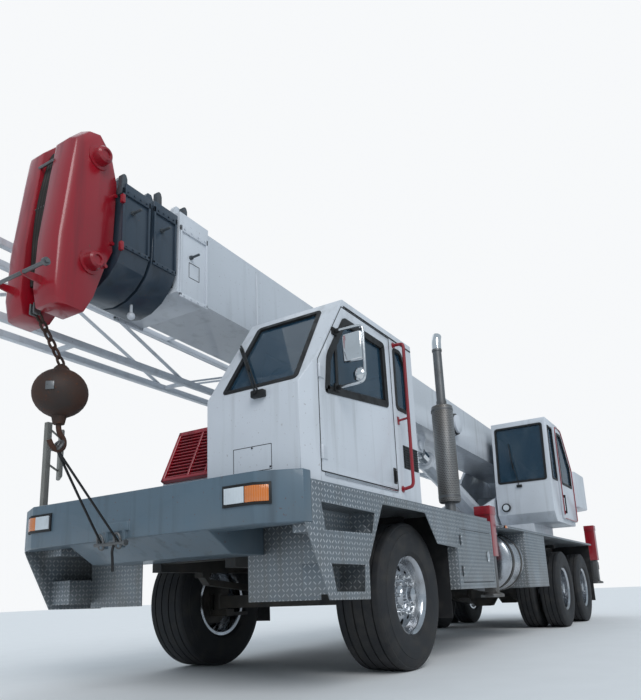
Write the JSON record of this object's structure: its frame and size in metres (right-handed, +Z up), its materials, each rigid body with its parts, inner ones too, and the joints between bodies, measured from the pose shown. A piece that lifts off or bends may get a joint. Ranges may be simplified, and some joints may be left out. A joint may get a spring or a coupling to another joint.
{
  "type": "truck-mounted mobile crane",
  "caption": "Mobile crane on a road carrier with a half cab, telescopic boom, stowed lattice jib, slewing upper works, operator's cab and outriggers.",
  "frame": {"origin": "on the ground under the middle of the whole crane", "axes": "+X forward, over the driver's cab; +Y left; +Z up"},
  "size_m": [11.328, 3.0095, 3.5645],
  "materials": {
    "white_paint": "gloss",
    "slate_paint": "satin",
    "dark_paint": "satin",
    "red_paint": "gloss",
    "black_paint": "satin",
    "tread_plate": "rolled pattern",
    "polished_aluminium": "polished",
    "chrome": "polished",
    "steel": "worn",
    "rusty_iron": "rusted",
    "tyre_rubber": "matt",
    "flap_rubber": "matt",
    "lamp_plastic": "gloss",
    "seat_cloth": "matt",
    "window_glass": "clear"
  },
  "bodies": {
    "carrier": {"frame": "black_paint", "deck": "tread_plate", "bumper": "slate_paint", "lamps": "lamp_plastic", "side_steps": "tread_plate", "side_boxes": "tread_plate", "fuel_tank": "polished_aluminium", "mud_flaps": "flap_rubber", "hood": "white_paint", "grille": "red_paint", "engine": "rusty_iron", "exhaust": "steel", "driver_cab": "white_paint", "driver_glass": "window_glass", "driver_seat": "seat_cloth", "grab_rails": "red_paint", "right_mirror": "chrome", "front_axle": "black_paint", "rear_axles": "black_paint"},
    "driver_door": {"driver_door": "white_paint", "driver_door_glass": "window_glass"},
    "tool_box_door": {"tool_box_door": "tread_plate"},
    "knuckle_left": {"knuckle_left": "black_paint"},
    "knuckle_right": {"knuckle_right": "black_paint"},
    "front_wheel_left": {"front_tyre_left": "tyre_rubber", "front_rim_left": "polished_aluminium"},
    "front_wheel_right": {"front_tyre_right": "tyre_rubber", "front_rim_right": "polished_aluminium"},
    "first_wheels_left": {"first_tyres_left": "tyre_rubber", "first_rims_left": "polished_aluminium"},
    "first_wheels_right": {"first_tyres_right": "tyre_rubber", "first_rims_right": "polished_aluminium"},
    "second_wheels_left": {"second_tyres_left": "tyre_rubber", "second_rims_left": "polished_aluminium"},
    "second_wheels_right": {"second_tyres_right": "tyre_rubber", "second_rims_right": "polished_aluminium"},
    "front_outrigger_left": {"front_outrigger_left": "red_paint"},
    "front_jack_leg_left": {"front_jack_leg_left": "steel"},
    "front_outrigger_right": {"front_outrigger_right": "red_paint"},
    "front_jack_leg_right": {"front_jack_leg_right": "steel"},
    "rear_outrigger_left": {"rear_outrigger_left": "red_paint"},
    "rear_jack_leg_left": {"rear_jack_leg_left": "steel"},
    "rear_outrigger_right": {"rear_outrigger_right": "red_paint"},
    "rear_jack_leg_right": {"rear_jack_leg_right": "steel"},
    "upper_works": {"turntable": "white_paint", "counterweight": "white_paint", "operator_cab": "white_paint", "operator_glass": "window_glass", "operator_seat": "seat_cloth"},
    "operator_door": {"operator_door": "white_paint", "operator_door_glass": "window_glass"},
    "lift_barrel": {"lift_barrel": "white_paint"},
    "lift_rod": {"lift_rod": "chrome"},
    "boom_base": {"boom_base": "white_paint", "jib": "white_paint"},
    "boom_section_2": {"boom_section_2": "dark_paint"},
    "boom_section_3": {"boom_section_3": "dark_paint"},
    "boom_tip": {"boom_tip": "dark_paint", "boom_head": "red_paint"},
    "hook": {"hook_ball": "rusty_iron"}
  },
  "joints": [
    {"name": "steer_left", "type": "hinge", "parent": "carrier", "child": "knuckle_left", "pos_m": [2.64, 0.8, 0.562], "axis": [0, 0, 1], "range_deg": [-35, 35]},
    {"name": "front_wheel_spin_left", "type": "hinge", "parent": "knuckle_left", "child": "front_wheel_left", "pos_m": [2.64, 0.957, 0.562], "axis": [0, 1, 0], "continuous": true},
    {"name": "first_wheels_spin_left", "type": "hinge", "parent": "carrier", "child": "first_wheels_left", "pos_m": [-2.535, 1.095, 0.525], "axis": [0, 1, 0], "continuous": true},
    {"name": "second_wheels_spin_left", "type": "hinge", "parent": "carrier", "child": "second_wheels_left", "pos_m": [-3.91, 1.095, 0.525], "axis": [0, 1, 0], "continuous": true},
    {"name": "steer_right", "type": "hinge", "parent": "carrier", "child": "knuckle_right", "pos_m": [2.64, -0.8, 0.562], "axis": [0, 0, 1], "range_deg": [-35, 35]},
    {"name": "front_wheel_spin_right", "type": "hinge", "parent": "knuckle_right", "child": "front_wheel_right", "pos_m": [2.64, -0.957, 0.562], "axis": [0, 1, 0], "continuous": true},
    {"name": "first_wheels_spin_right", "type": "hinge", "parent": "carrier", "child": "first_wheels_right", "pos_m": [-2.535, -1.095, 0.525], "axis": [0, 1, 0], "continuous": true},
    {"name": "second_wheels_spin_right", "type": "hinge", "parent": "carrier", "child": "second_wheels_right", "pos_m": [-3.91, -1.095, 0.525], "axis": [0, 1, 0], "continuous": true},
    {"name": "driver_door_hinge", "type": "hinge", "parent": "carrier", "child": "driver_door", "pos_m": [4.115, 1.28004, 1.9], "axis": [0, 0, -1], "range_deg": [0, 70]},
    {"name": "tool_box_hinge", "type": "hinge", "parent": "carrier", "child": "tool_box_door", "pos_m": [1.86, 1.30504, 0.875], "axis": [0, 0, -1], "range_deg": [0, 110]},
    {"name": "front_beam_slide_left", "type": "slide", "parent": "carrier", "child": "front_outrigger_left", "axis": [0, 1, 0], "range_m": [0, 1.7]},
    {"name": "front_jack_slide_left", "type": "slide", "parent": "front_outrigger_left", "child": "front_jack_leg_left", "axis": [0, 0, -1], "range_m": [0, 0.45]},
    {"name": "front_beam_slide_right", "type": "slide", "parent": "carrier", "child": "front_outrigger_right", "axis": [0, -1, 0], "range_m": [0, 1.7]},
    {"name": "front_jack_slide_right", "type": "slide", "parent": "front_outrigger_right", "child": "front_jack_leg_right", "axis": [0, 0, -1], "range_m": [0, 0.45]},
    {"name": "rear_beam_slide_left", "type": "slide", "parent": "carrier", "child": "rear_outrigger_left", "axis": [0, 1, 0], "range_m": [0, 1.7]},
    {"name": "rear_jack_slide_left", "type": "slide", "parent": "rear_outrigger_left", "child": "rear_jack_leg_left", "axis": [0, 0, -1], "range_m": [0, 0.55]},
    {"name": "rear_beam_slide_right", "type": "slide", "parent": "carrier", "child": "rear_outrigger_right", "axis": [0, -1, 0], "range_m": [0, 1.7]},
    {"name": "rear_jack_slide_right", "type": "slide", "parent": "rear_outrigger_right", "child": "rear_jack_leg_right", "axis": [0, 0, -1], "range_m": [0, 0.55]},
    {"name": "slew", "type": "hinge", "parent": "carrier", "child": "upper_works", "pos_m": [-2.66, 0, 1.35], "axis": [0, 0, 1], "continuous": true},
    {"name": "operator_door_slide", "type": "slide", "parent": "upper_works", "child": "operator_door", "axis": [-1, 0, 0], "range_m": [0, 0.6]},
    {"name": "boom_lift", "type": "hinge", "parent": "upper_works", "child": "boom_base", "pos_m": [-3.96, 0, 2.7], "axis": [0, -1, 0], "range_deg": [-2, 76]},
    {"name": "section_2_slide", "type": "slide", "parent": "boom_base", "child": "boom_section_2", "axis": [0.9995, 0, 0.0314], "range_m": [0, 6.5]},
    {"name": "section_3_slide", "type": "slide", "parent": "boom_section_2", "child": "boom_section_3", "axis": [0.9995, 0, 0.0314], "range_m": [0, 6.5]},
    {"name": "tip_slide", "type": "slide", "parent": "boom_section_3", "child": "boom_tip", "axis": [0.9995, 0, 0.0314], "range_m": [0, 6.5]},
    {"name": "hook_swing", "type": "hinge", "parent": "boom_tip", "child": "hook", "pos_m": [5.266, 0, 2.3376], "axis": [0, -1, 0], "range_deg": [-60, 5]},
    {"name": "lift_barrel_pivot", "type": "hinge", "parent": "upper_works", "child": "lift_barrel", "pos_m": [-2.86, 0, 1.6], "axis": [0, -1, 0], "range_deg": [-2, 73]},
    {"name": "lift_rod_slide", "type": "slide", "parent": "lift_barrel", "child": "lift_rod", "axis": [0.9544, 0, 0.2985], "range_m": [-0.06, 1.91]}
  ],
  "couplings": [
    {"joint": "steer_right", "follows": "steer_left", "ratio": 1},
    {"joint": "section_3_slide", "follows": "section_2_slide", "ratio": 1},
    {"joint": "tip_slide", "follows": "section_2_slide", "ratio": 1},
    {"joint": "hook_swing", "follows": "boom_lift", "ratio": -0.72},
    {"joint": "lift_barrel_pivot", "follows": "boom_lift", "ratio": 0.944},
    {"joint": "lift_rod_slide", "follows": "boom_lift", "m_per_rad": 1.431}
  ]
}
